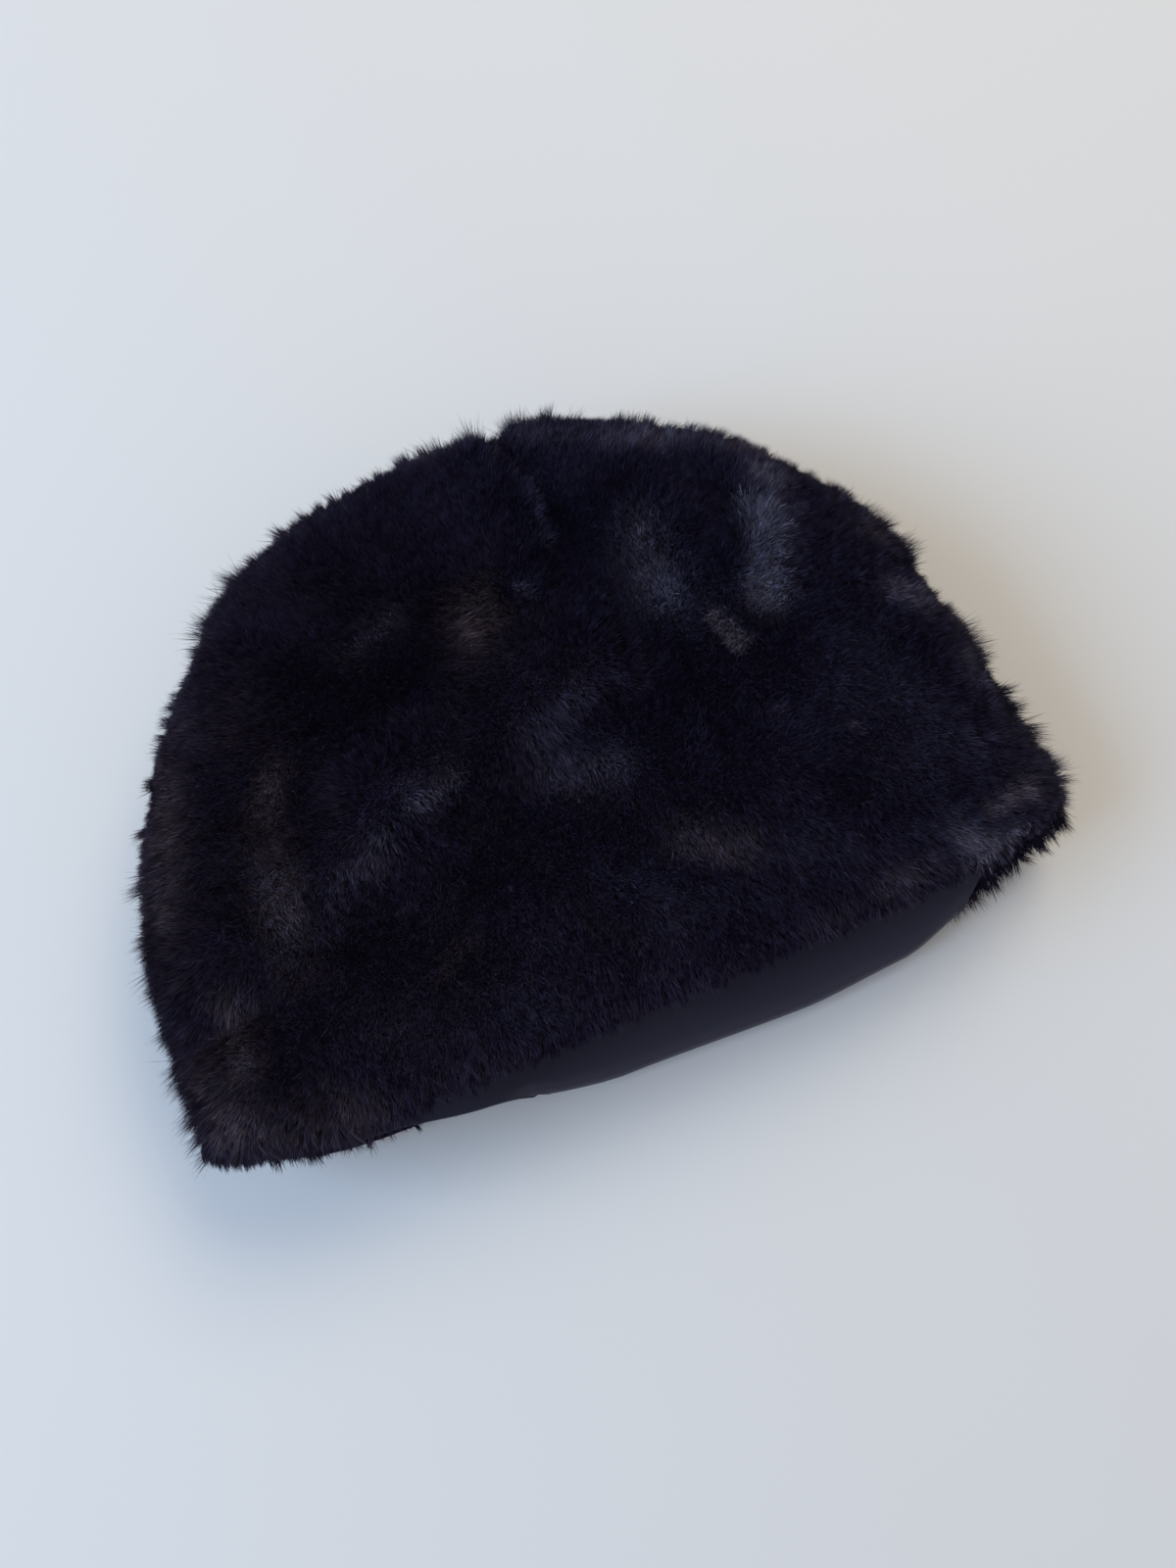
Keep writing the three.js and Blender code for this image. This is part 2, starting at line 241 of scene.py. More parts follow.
pileLook = {
    # tone 0 painted warm highlight of the lamp, 0.5 black, 1 painted cool highlight of the window
    "tones": (
        (0.00, (0.195, 0.160, 0.220)),
        (0.25, (0.066, 0.054, 0.084)),
        (0.50, (0.0190, 0.0145, 0.0420)),
        (0.75, (0.068, 0.063, 0.112)),
        (1.00, (0.250, 0.240, 0.345)),
    ),
    # strands darken to their roots as painted shade inside the pile and lighten to their tips as painted
    # glints
    "rootShade": 0.35,
    "tipShade": 2.25,
    "roughness": 0.5,
    "gloss": 0.28,
    "fringeGloss": 0.03,  # its flat strands would glint
}


def toneGroup():                      # the pile's colour from its tone and shade
    group = bpy.data.node_groups.new("pile tones", "ShaderNodeTree")
    group.interface.new_socket("Tone", in_out="INPUT", socket_type="NodeSocketFloat")
    group.interface.new_socket("Shade", in_out="INPUT", socket_type="NodeSocketFloat")
    group.interface.new_socket("Color", in_out="OUTPUT", socket_type="NodeSocketColor")
    nodes, links = group.nodes, group.links
    given, result = nodes.new("NodeGroupInput"), nodes.new("NodeGroupOutput")
    ramp = nodes.new("ShaderNodeValToRGB")
    stops = ramp.color_ramp.elements
    while len(stops) < len(pileLook["tones"]):
        stops.new(0.5)
    for stop, (place, colour) in zip(stops, pileLook["tones"]):
        stop.position = place
        stop.color = (*colour, 1)
    scale = nodes.new("ShaderNodeVectorMath")
    scale.operation = "SCALE"
    links.new(given.outputs["Tone"], ramp.inputs["Fac"])
    links.new(ramp.outputs["Color"], scale.inputs[0])
    links.new(given.outputs["Shade"], scale.inputs["Scale"])
    links.new(scale.outputs["Vector"], result.inputs["Color"])
    return group


def setRange(node, side, low, high):   # side: From or To
    node.inputs[side + " Min"].default_value = low
    node.inputs[side + " Max"].default_value = high


def tonesIn(nodes, group, low, high):  # the group in a material, its shade between two values
    tones = nodes.new("ShaderNodeGroup")
    tones.node_tree = group
    shade = nodes.new("ShaderNodeMapRange")
    setRange(shade, "To", low, high)
    return tones, shade


def pileMaterial(name, group, gloss):  # tone by strand across the map, painted shade at its root and painted glint at its tip up the map
    material, nodes, links, shader = newMaterial(name)
    uv = nodes.new("ShaderNodeUVMap")
    uv.uv_map = "OFBake"
    split = nodes.new("ShaderNodeSeparateXYZ")
    tones, shade = tonesIn(nodes, group, pileLook["rootShade"], pileLook["tipShade"])
    links.new(uv.outputs["UV"], split.inputs[0])
    links.new(split.outputs["X"], tones.inputs["Tone"])
    links.new(split.outputs["Y"], shade.inputs["Value"])
    links.new(shade.outputs["Result"], tones.inputs["Shade"])
    links.new(tones.outputs["Color"], shader.inputs["Base Color"])
    shader.inputs["Roughness"].default_value = pileLook["roughness"]
    shader.inputs["Specular IOR Level"].default_value = gloss
    return material


underfurLook = {
    "grain": 1800.0,
    "grainDetail": 1.0,
    "grainFrom": (0.36, 0.70),  # darkest and lightest grain
    # lower than the strands' as painted shade between the tufts; the grain picks where in this range
    "shade": (0.08, 1.0),
    "hue": 900.0,
    "hueFrom": (0.3, 0.7),
    "hueChange": 0.12,
    "bump": 0.6,
    "roughness": 0.9,
    "gloss": 0.05,
}


def underfurMaterial(group):          # the tips of the dense fibres between the tufts, darkened as painted shade, with the patches' painted highlights in its tone
    material, nodes, links, shader = newMaterial("under fur")
    place = nodes.new("ShaderNodeTexCoord")
    own = nodes.new("ShaderNodeAttribute")
    own.attribute_name = "tone"
    grain = nodes.new("ShaderNodeTexNoise")
    grain.inputs["Scale"].default_value = underfurLook["grain"]
    grain.inputs["Detail"].default_value = underfurLook["grainDetail"]
    hue = nodes.new("ShaderNodeTexNoise")
    hue.inputs["Scale"].default_value = underfurLook["hue"]
    change = nodes.new("ShaderNodeMapRange")
    setRange(change, "From", *underfurLook["hueFrom"])
    setRange(change, "To", -underfurLook["hueChange"], underfurLook["hueChange"])
    add = nodes.new("ShaderNodeMath")
    tones, shade = tonesIn(nodes, group, *underfurLook["shade"])
    setRange(shade, "From", *underfurLook["grainFrom"])
    bump = nodes.new("ShaderNodeBump")
    bump.inputs["Strength"].default_value = underfurLook["bump"]
    bump.inputs["Distance"].default_value = mm
    links.new(place.outputs["Object"], grain.inputs["Vector"])
    links.new(place.outputs["Object"], hue.inputs["Vector"])
    links.new(hue.outputs["Fac"], change.inputs["Value"])
    links.new(own.outputs["Fac"], add.inputs[0])
    links.new(change.outputs["Result"], add.inputs[1])
    links.new(add.outputs[0], tones.inputs["Tone"])
    links.new(grain.outputs["Fac"], shade.inputs["Value"])
    links.new(shade.outputs["Result"], tones.inputs["Shade"])
    links.new(tones.outputs["Color"], shader.inputs["Base Color"])
    links.new(grain.outputs["Fac"], bump.inputs["Height"])
    links.new(bump.outputs["Normal"], shader.inputs["Normal"])
    shader.inputs["Roughness"].default_value = underfurLook["roughness"]
    shader.inputs["Specular IOR Level"].default_value = underfurLook["gloss"]
    return material


liningLook = {
    "colour": (0.0236, 0.0234, 0.0460),
    "worn": (0.0355, 0.0362, 0.0635),
    "clouds": 35.0,
    "cloudDetail": 4.0,
    "weave": 130.0,
    "weaveChange": 0.6,
    "bump": 0.08,
    "bumpDepth": 0.1,
    "roughness": 0.4,
    "gloss": 0.45,
}


def liningMaterial():                 # close satin weave with slow changes of tone
    material, nodes, links, shader = newMaterial("satin lining")
    place = nodes.new("ShaderNodeTexCoord")
    cloud = nodes.new("ShaderNodeTexNoise")
    cloud.inputs["Scale"].default_value = liningLook["clouds"]
    cloud.inputs["Detail"].default_value = liningLook["cloudDetail"]
    mix = nodes.new("ShaderNodeMix")
    mix.data_type = "RGBA"
    mix.inputs[6].default_value = (*liningLook["colour"], 1)
    mix.inputs[7].default_value = (*liningLook["worn"], 1)
    weave = nodes.new("ShaderNodeTexWave")
    weave.bands_direction = "DIAGONAL"
    weave.inputs["Scale"].default_value = liningLook["weave"]
    weave.inputs["Distortion"].default_value = liningLook["weaveChange"]
    bump = nodes.new("ShaderNodeBump")
    bump.inputs["Strength"].default_value = liningLook["bump"]
    bump.inputs["Distance"].default_value = liningLook["bumpDepth"] * mm
    links.new(place.outputs["Object"], cloud.inputs["Vector"])
    links.new(place.outputs["Object"], weave.inputs["Vector"])
    links.new(cloud.outputs["Fac"], mix.inputs[0])
    links.new(mix.outputs[2], shader.inputs["Base Color"])
    links.new(weave.outputs["Fac"], bump.inputs["Height"])
    links.new(bump.outputs["Normal"], shader.inputs["Normal"])
    shader.inputs["Roughness"].default_value = liningLook["roughness"]
    shader.inputs["Specular IOR Level"].default_value = liningLook["gloss"]
    return material


def placedPiece(name, mesh, material, slot, *nodesReplaced):
    for face in mesh.polygons:
        face.use_smooth = True
    mesh.materials.append(material)
    piece = bpy.data.objects.new(name, mesh)
    bpy.context.scene.collection.objects.link(piece)
    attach(piece, "root")
    if nodesReplaced:
        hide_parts(*nodesReplaced)
    return piece


# Patches where the nap turns to the light, with painted highlights (brown the warm lamp's, blue and grey
# the cool window's): from x, y to x, y, radius, tone, lean to the rim, lean round
napAndSheenPatches = (
    (28, 153, 27, 134, 5, 0.31, 0.1, 0.4),        # light hairs by the parting
    (12, 122, 15, 118, 3, 0.85, 0.1, 0.3),
    (-10, 102, -6, 110, 9, -0.14, 0.2, -0.2),     # brown patch left of the seam
    (-2, 112, 10, 115, 11, -0.34, 0.2, -0.1),
    (-3, 121, 2, 123, 8, -0.30, 0.2, -0.1),
    (-38, 123, -26, 127, 6, 0.52, 0.1, 0.1),
    (-80, 90, -75, 97, 6, -0.72, 0.1, 0.1),       # short brown ridge
    (52, 123, 51, 104, 11, 0.74, -0.2, 0.1),      # blue patch right of the seam
    (53, 102, 56, 92, 6, 0.06, -0.1, 0.2),
    (91, 115, 82, 93, 8.5, 1.20, -0.2, 0.1),      # blue ridge by the right shoulder
    (96, 130, 101, 126, 5, 0.55, 0.0, 0.3),
    (64, 91, 69, 80, 2.6, 0.90, 0.4, -0.6),       # pale tuft
    (-58, 59, -51, 64, 5.5, 0.36, 0.2, 0.0),      # low end of the long ridge
    (-38, 69, -26, 73, 5, 0.62, 0.2, 0.0),
    (-30, 79, -25, 78, 4, 0.03, 0.2, 0.0),
    (-2, 76, 14, 81, 5.5, 0.26, 0.2, 0.1),
    (12, 82, 27, 85, 5, 0.20, 0.2, 0.2),
    (2, 62, 18, 60, 8.5, 0.45, 0.2, 0.1),         # swell before the ridge
    (29, 31, 45, 23, 8, -0.66, 0.1, 0.2),         # brown oval near the rim
    (124, 82, 132, 76, 6.5, 0.95, 0.1, 0.4),      # grey patch over the right edge
    (125, 104, 129, 96, 5, -0.50, 0.0, 0.3),
    (138, 52, 142, 30, 6, 0.80, 0.0, 0.3),
    (89, 46, 91, 44, 2.5, -0.80, 0.1, 0.2),
    (68, 58, 69, 56, 2.5, -0.40, 0.1, 0.2),
    (-86, 76, -87, 62, 10, -0.58, 0.1, 0.1),      # brown swell by the left edge
    (-88, 60, -89, 42, 10, -0.33, 0.1, 0.1),
    (-72, 56, -66, 61, 6, 0.38, 0.1, 0.2),
    (-114, 36, -115, 22, 8, -0.74, 0.1, -0.1),    # brown swell at the left corner
    (-134, 24, -128, 8, 8, -0.72, 0.1, -0.2),
    (-104, 142, -112, 120, 10, -0.35, 0.5, 0.0),  # left edge
    (-98, 132, -97, 119, 7, 0.45, 0.1, -0.3),
    (-108, 112, -124, 73, 9, -0.75, 0.1, -0.3),
    (-50, 23, -40, 27, 5, -0.44, 0.1, 0.1),
    (-69, 14, -67, 12, 2.5, 0.12, 0.1, 0.1),
    (-94, 7, -89, 2, 4, -0.14, 0.1, 0.1),
    (56, -4, 68, -4, 5, -0.20, 0.2, 0.0),         # light tufts of the right hem
    (82, -2, 100, 0, 6, -0.55, 0.2, 0.0),
    (100, 4, 120, 4, 7, 0.29, 0.2, 0.1),
    (121, 6, 138, 8, 5, -1.20, 0.0, 0.3),         # light flow to the right corner
    (112, -2, 140, -2, 8, 0.66, 0.2, 0.2),
    (142, 12, 148, 20, 7, -0.08, 0.0, 0.3),
    (-70, 10, 60, 18, 16, 0.20, 0.0, 0.0),
    (100, 60, 104, 30, 18, 0.26, 0.0, 0.0),
    (-134, 4, -88, -4, 9, -0.42, 0.2, 0.0),       # brown hem at the left
    (-88, -6, 50, -8, 4.5, -0.08, 0.2, 0.0),
    (24, 176, 55, 163, 6, -0.25, 0.1, 0.45),      # streaks along the crown
    (55, 160, 85, 151, 6, 0.50, 0.0, 0.4),
    (85, 150, 104, 140, 6, -0.50, 0.0, 0.3),
)


def napLeanAndSheen(p, ring):                # painted highlight tone, and the leans that the patches give the nap
    tone, rimward, sideward = np.zeros(len(p)), np.zeros(len(p)), np.zeros(len(p))
    for x0, y0, x1, y1, radius, shade, lean, turn in napAndSheenPatches:
        share = np.exp(-((awayFrom(p[:, 0], p[:, 1], x0, y0, x1, y1) / radius) ** 2)) * upperShare(ring)
        tone += shade * share
        rimward += lean * share
        sideward += turn * share
    return tone, rimward, sideward


# The gores' cloth: a sheet extruded to a closed wall, from the smooth back to the under fur
gores = {"gore_top_right": 0, "gore_top_left": 1, "gore_under_left": 2, "gore_under_right": 3}
cloth = {
    "rows": 60,
    "columns": 40,
    "underfur": (0.66, 0.40),  # height as a share of the pile's depth, on top and at the sides
    "partingLow": 0.5,
    "seamRoom": 0.0003,
    "sharpFrom": 50,           # degrees
}


def makeCloth(node, start, material):
    bm = bmesh.new()
    bmesh.ops.create_grid(bm, x_segments=cloth["columns"], y_segments=cloth["rows"], size=0.5)
    outer = bmesh.ops.extrude_face_region(bm, geom=bm.faces[:])
    top = [v for v in outer["geom"] if isinstance(v, bmesh.types.BMVert)]
    bmesh.ops.translate(bm, vec=(0, 0, 1), verts=top)
    grid = np.array([v.co for v in bm.verts])
    ring = start + cloth["seamRoom"] + (1 - 2 * cloth["seamRoom"]) * (grid[:, 0] + 0.5)
    t = grid[:, 1] + 0.5
    depth = pileDepth(t, ring)
    fur = depth * topAndSide(cloth["underfur"], pileWay(t, ring))
    fur = fur * (1 - cloth["partingLow"] * atParting(t, ring))
    height = np.where(grid[:, 2] > 0.5, fur, -form["backingWall"])
    tips = furPlace(t, ring, np.zeros_like(t)) + depth[:, None] * waysAt(t, ring)[0]
    # the under fur's tone carries the patches' painted highlights
    tone = np.clip(0.5 + 0.5 * napLeanAndSheen(tips, ring)[0], 0, 1)
    layer = bm.verts.layers.float.new("tone")
    for vert, p, shade in zip(bm.verts, toFrame(furPlace(t, ring, height)), tone):
        vert.co = p
        vert[layer] = shade
    bmesh.ops.remove_doubles(bm, verts=bm.verts[:], dist=weld)
    bmesh.ops.recalc_face_normals(bm, faces=bm.faces[:])
    mesh = bpy.data.meshes.new(node + "_cloth")
    bm.to_mesh(mesh)
    bm.free()
    piece = placedPiece(node + "_cloth", mesh, material, "pile", node)
    piece.data.set_sharp_from_angle(angle=np.radians(cloth["sharpFrom"]))


# The pile: narrow strands in small tufts, which draw together into larger ones
pile = {
    "upperStrands": 190000,     # in each of an upper gore's two pieces
    "underStrands": 56000,
    "half": 0.42,               # where the upper pieces meet, from 0 at the rim to 1 at the crown
    "largeTuft": 1.6,           # radius in millimetres, as all lengths here
    "smallTuft": 0.3,
    "smallInLarge": 18,
    "strandsInSmall": 5,
    "strandWidth": 0.34,
    "widthChange": (0.75, 1.25),
    "rootShare": (0.46, 0.28),  # of the depth, where a strand leaves the backing, on top and at the sides
    "tall": (1.04, 1.14),       # height of a tuft's tip over the backing, as a share of the pile's depth
    "uneven": (0.05, 0.40),     # how much that changes from tuft to tuft, on top and at the sides
    "longShare": 0.17,          # share of large tufts that stand out as points
    "long": (0.9, 1.7),         # how far they do
    "short": (-0.5, 0.0),       # and the others
    "smallUneven": (-0.5, 0.2),
    "evenInLong": 0.3,
    "strandTall": (0.86, 1.0),
    "shortest": 1.0,
    "leastUpright": 0.7,
    "clumpGapShade": (0.15, 0.75),      # how much painted shade darkens a large tuft round its middle, most in the gaps between tufts
    "outermost": 1.3,           # how far from a large tuft's middle that still grows
    "shortPull": 0.45,          # how much less the others draw together
    "pull": (0.65, 0.85),       # how far a small tuft's tips draw together, on top and at the sides
    "largePull": (0.12, 0.86),  # and a large one's
    "cone": (0.05, 0.60),       # how much shorter its outer strands are
    "lean": (0.10, 0.42),       # to the rim
    "hemLean": 0.3,
    "hemReach": 12.0,
    "swirl": 0.14,              # slow change of the lean over the cap
    "swirlSize": 9.0,
    "loose": 0.08,              # change of the lean from one large tuft to the next
    "looseSmall": 0.10,
    "looseStrand": 0.14,
    "stray": 0.16,              # share of strands that stand apart from their tuft
    "strayLoose": 2.2,
    "strayPull": 0.25,
    "seamShort": 0.35,
    "seamTurn": 0.7,            # how far the pile lies away from the parting
    "overFloor": (0.2, 0.5),    # the lowest that a strand ends, and how much that changes
    "shine": (0.20, 2.0),       # how bright a strand's painted glint at the tip is at least, and how rare the brightest are
    "change": (0.3, 1.5),       # of tone and shine from strand to strand
    # slow change of tone, and from one large tuft, small tuft and strand to the next
    "tone": (0.06, 0.03, 0.05, 0.10),
    "toneSize": 5.0,
    # under the cap: how much thinner the pressed pile is, how low it begins, and where the crown turns up
    "thin": 0.92,
    "thinFrom": (0.35, 0.8),
    "thinCrown": (0.55, 0.8),
}

# Where the outline steps in and out: from x, y to x, y, radius, change of the pile's depth
grown = (
    (-28, 186, -20, 188, 10, -0.20),
    (-107, 135, -96, 151, 13, -0.15),     # nook of the left edge
    (-119, 120, -121, 112, 10, -0.15),
    (-72, 170, -80, 164, 9, 0.35),        # tufts over the nook
    (-136, 60, -143, 20, 16, 0.18),       # left edge by the rim
    (14, 190, 21, 186, 6, 0.45),          # tufts left of the seam
    (36, 186, 44, 184, 6, 0.30),
    (25, 180, 26, 190, 2.2, -0.45),       # notch at the seam
    (100, 155, 124, 128, 9, -0.20),
    (135, 104, 139, 97, 6, 0.35),         # first step of the right edge
    (141, 86, 145, 76, 5, -0.28),
    (146, 68, 149, 59, 4, 0.25),          # second step
    (148, 49, 149, 47, 3, -0.25),
    (151, 39, 152, 30, 6, 0.12),
    (152, 16, 156, 8, 8, 0.38),           # right corner
    (148, -6, 118, -12, 7, -0.40),
    (-112, -10, -80, -15, 8, 0.25),
)


def evenSpots(count, tFrom, tTo, ringFrom, ringTo, weight):   # spread by area over part of the cap
    rows, columns = 220, 220
    firstStep, secondStep = 0.7548776662, 0.5698402910  # steps that leave no pattern
    tEdge, ringEdge = np.linspace(tFrom, tTo, rows + 1), np.linspace(ringFrom, ringTo, columns + 1)
    t, ring = np.meshgrid(tEdge, ringEdge, indexing="ij")
    p = furPlace(t, ring, np.zeros_like(t))
    up, turn = p[1:, :-1] - p[:-1, :-1], p[:-1, 1:] - p[:-1, :-1]
    middle = (t[1:, 1:] + t[:-1, :-1]) / 2, (ring[1:, 1:] + ring[:-1, :-1]) / 2
    share = np.linalg.norm(np.cross(up, turn), axis=-1) * weight(*middle)
    k = np.arange(count)
    first, second = (0.5 + k * firstStep) % 1, (0.5 + k * secondStep) % 1
    byRow = np.concatenate([[0], np.cumsum(share.sum(1))])
    place = np.interp(first * byRow[-1], byRow, np.arange(rows + 1))
    row = np.minimum(place.astype(int), rows - 1)
    inRow = np.cumsum(share, 1) / share.sum(1, keepdims=True)
    spot = np.searchsorted((inRow + np.arange(rows)[:, None]).ravel(), row + second)
    column = np.clip(spot - row * columns, 0, columns - 1) + dice.uniform(0, 1, count)
    return np.interp(place, np.arange(rows + 1), tEdge), np.interp(column, np.arange(columns + 1), ringEdge)


def strandMesh(name, middles, tip, across, tone, shine):   # two sides along the middles, and a tip
    steps = middles.shape[1]
    edge, halfWide = 0.01, 0.0012     # room round the map, and half a strand's width on it
    sides = [middles[:, k] + side * across for k in range(steps) for side in (-1, 1)]
    points = toFrame(np.stack([*sides, tip], 1))
    corners = []
    for k in range(0, 2 * steps - 2, 2):
        corners += [k, k + 1, k + 3, k, k + 3, k + 2]
    corners += [2 * steps - 2, 2 * steps - 1, 2 * steps]
    count, each = points.shape[:2]
    faces = (np.arange(count)[:, None] * each + corners).astype(np.int32)
    mesh = bpy.data.meshes.new(name)
    mesh.vertices.add(count * each)
    mesh.vertices.foreach_set("co", points.astype(np.float32).ravel())
    mesh.loops.add(faces.size)
    mesh.loops.foreach_set("vertex_index", faces.ravel())
    mesh.polygons.add(faces.size // 3)
    mesh.polygons.foreach_set("loop_start", np.arange(0, faces.size, 3, dtype=np.int32))
    mesh.update(calc_edges=True)
    uv = np.empty((count, each, 2), np.float32)
    sideways = np.array([*(halfWide * np.tile([-1, 1], steps)), 0])
    upwards = np.array([*np.repeat(np.arange(steps) / steps, 2), 1])
    uv[..., 0] = edge + (1 - 2 * edge) * tone[:, None] + sideways
    # up the map: from painted shade at the root to the strand's painted glint at the tip
    uv[..., 1] = edge / 2 + (1 - edge) * np.outer(shine, upwards)
    layer = mesh.uv_layers.new(name="OFBake")
    layer.data.foreach_set("uv", uv[:, corners].ravel())
    return mesh


def growth(p):                        # how much longer or shorter the pile stands
    change = np.zeros(len(p))
    for x0, y0, x1, y1, radius, share in grown:
        change += share * np.exp(-((awayFrom(p[:, 0], p[:, 1], x0, y0, x1, y1) / radius) ** 2))
    return 1 + change


def shineOf(most, each):              # painted glints on the tips are rare, and partly alike in a small tuft
    low, rare = pile["shine"]
    shine = most * (low + (1 - low) * dice.uniform(size=len(most)) ** rare)
    return np.clip(np.repeat(shine, each) * dice.uniform(*pile["change"], len(most) * each), 0, 1)


def overFloor(p):                     # keeps the strands' ends over the floor
    low, change = pile["overFloor"]
    p[:, 2] = np.maximum(p[:, 2], low + change * dice.uniform(size=len(p)))


def nearest(places, p):               # which of the places each point is nearest to
    tree = KDTree(len(places))
    for i, place in enumerate(places):
        tree.insert(place, i)
    tree.balance()
    return np.array([tree.find(point)[1] for point in p])


def growPile(name, ringFrom, tFrom, tTo, strands, weight, material):
    # Large tufts
    smalls = strands // pile["strandsInSmall"]
    larges = smalls // pile["smallInLarge"]
    t, ring = evenSpots(larges, tFrom, tTo, ringFrom, ringFrom + 1, weight)
    largeRoot = furPlace(t, ring, np.zeros_like(t))
    slowLean, slowTurn = (drift(largeRoot, pile["swirlSize"], seed) for seed in (21, 22))
    largeLean = pile["swirl"] * slowLean + pile["loose"] * dice.normal(size=larges)
    largeTurn = pile["swirl"] * slowTurn + pile["loose"] * dice.normal(size=larges)
    isLong = dice.uniform(size=larges) < pile["longShare"]
    largeTall = np.where(isLong, dice.uniform(*pile["long"], larges), dice.uniform(*pile["short"], larges))
    largeDraw = np.where(isLong, 1.0, pile["shortPull"])
    largeTone = pile["tone"][1] * dice.normal(size=larges)

    # Small tufts, spread evenly, each drawn to the nearest large one
    t, ring = evenSpots(smalls, tFrom, tTo, ringFrom, ringFrom + 1, weight)
    backingPlace = furPlace(t, ring, np.zeros_like(t))
    own = nearest(largeRoot, backingPlace)
    out, rimward, sideward = waysAt(t, ring)
    depth = pileDepth(t, ring)
    away = backingPlace - largeRoot[own]
    away -= (away * out).sum(-1, keepdims=True) * out
    fromMiddle = np.minimum((away**2).sum(-1) / pile["largeTuft"] ** 2, pile["outermost"])
    outer = fromMiddle * topAndSide(pile["cone"], out) * largeDraw[own]
    # tone from the patches is painted highlight; their leans turn the nap
    tone, rimwardLean, sidewardLean = napLeanAndSheen(backingPlace + depth[:, None] * out, ring)
    atSeam = atParting(t, ring)
    lean = topAndSide(pile["lean"], out) * (1 - crownShare(t))
    lean += pile["hemLean"] * np.exp(-((t * form["meridian"] / pile["hemReach"]) ** 2))
    lean += rimwardLean + largeLean[own] + pile["looseSmall"] * dice.normal(size=smalls)
    turn = sidewardLean + largeTurn[own] + pile["looseSmall"] * dice.normal(size=smalls)
    turn += pile["seamTurn"] * np.sign(ring - 1) * atSeam
    uneven = topAndSide(pile["uneven"], out)
    change = dice.uniform(*pile["smallUneven"], smalls) * np.where(isLong[own], pile["evenInLong"], 1.0)
    tall = topAndSide(pile["tall"], out) + uneven * (largeTall[own] + change)
    tall *= depth * (1 - pile["seamShort"] * atSeam) * growth(backingPlace + depth[:, None] * out)
    tall *= 1 - outer
    away *= (topAndSide(pile["largePull"], out) * largeDraw[own])[:, None]
    pull = topAndSide(pile["pull"], out)
    rootHeight = depth * topAndSide(pile["rootShare"], out)
    smallTone = pile["tone"][0] * drift(backingPlace, pile["toneSize"], 23)
    smallTone = smallTone + largeTone[own] + pile["tone"][2] * dice.normal(size=smalls)

    # Strands in each small tuft
    small = np.repeat(np.arange(smalls), pile["strandsInSmall"])
    n = len(small)
    o, r, s = out[small], rimward[small], sideward[small]
    alone = dice.uniform(size=n) < pile["stray"]
    angle, reach = dice.uniform(0, 2 * np.pi, n), pile["smallTuft"] * np.sqrt(dice.uniform(size=n))
    offset = reach[:, None] * (np.cos(angle)[:, None] * r + np.sin(angle)[:, None] * s)
    loose = pile["looseStrand"] * np.where(alone, pile["strayLoose"], 1.0)
    leans, turns = lean[small] + loose * dice.normal(size=n), turn[small] + loose * dice.normal(size=n)
    way = unit(o + leans[:, None] * r + turns[:, None] * s)
    rise = tall[small] * dice.uniform(*pile["strandTall"], n) - rootHeight[small]
    rise = np.maximum(rise, pile["shortest"]) / np.maximum((way * o).sum(-1), pile["leastUpright"])
    root = backingPlace[small] + rootHeight[small][:, None] * o + offset
    tip = root + rise[:, None] * way
    tip -= np.where(alone, pile["strayPull"], 1.0)[:, None] * (pull[small][:, None] * offset + away[small])
    across = unit(np.cross(way, dice.normal(size=(n, 3))))
    across *= (pile["strandWidth"] / 2 * dice.uniform(*pile["widthChange"], n))[:, None]
    overFloor(root)
    overFloor(tip)
    # random tone per tuft and strand, plus the patches' painted highlights
    tones = smallTone[small] + tone[small] * dice.uniform(*pile["change"], n)
    tones = tones + pile["tone"][3] * dice.normal(size=n)
    # painted shade in the gaps between large tufts dims the strands' glints
    paintedGapShade = topAndSide(pile["clumpGapShade"], out) * fromMiddle / pile["outermost"]
    shine = shineOf(1 - paintedGapShade, pile["strandsInSmall"])
    mesh = strandMesh(name, root[:, None], tip, across, np.clip(0.5 + 0.5 * tones, 0, 1), shine)
    placedPiece(name, mesh, material, "pile")


# The fringe: the pile's outermost row, which fans over the hem
fringe = {
    "tufts": 1700,
    "tuftOf": 9,
    "reach": (3.2, 7.0),
    "underReach": 0.75,
    "upperFrom": -0.05,         # sine of the place round the rim
    "from": (0.004, 0.028),
    "rootShare": (0.2, 0.8),    # of the pile's depth
    # out, to the rim, round it and down, at a strand's root, middle and tip
    "ways": ((0.8, 0.9, 1.0, 0.0), (0.35, 1.1, 1.2, 0.0), (0.1, 1.0, 1.3, 0.3)),
    "draw": (0.35, 0.4),        # how far a tuft draws together by its middle, and from there to its tip
    "twist": 0.5,
    # how bright the painted glint at the fringe strands' tips is
    "shine": 0.42,
    "tuftTone": 0.08,
    "strandTone": 0.05,
    "toneChange": (0.4, 1.3),
    "tuftFan": 0.25,            # how far a tuft's lean round the rim changes, and a strand's
    "strandFan": 0.12,
    "lengthChange": (0.8, 1.05),
    "widthChange": (0.75, 1.2),
    # under the right corner the under gore's fringe is longer and shows
    "cornerFrom": 98.0,
    "cornerFull": 108.0,
    "cornerReach": 1.7,
    "cornerShare": 0.3,
    "cornerRing": (3.3, 0.35),  # where the corner's tufts begin, and over how much of each gore's ring
    # shorter over the corner itself
    "endFrom": 118.0,
    "endFull": 130.0,
    "endShort": 0.5,
    # longer where it hides the lining's end at the left
    "leftMiddle": -90.0,
    "leftWidth": 24.0,
    "leftReach": 0.9,
}


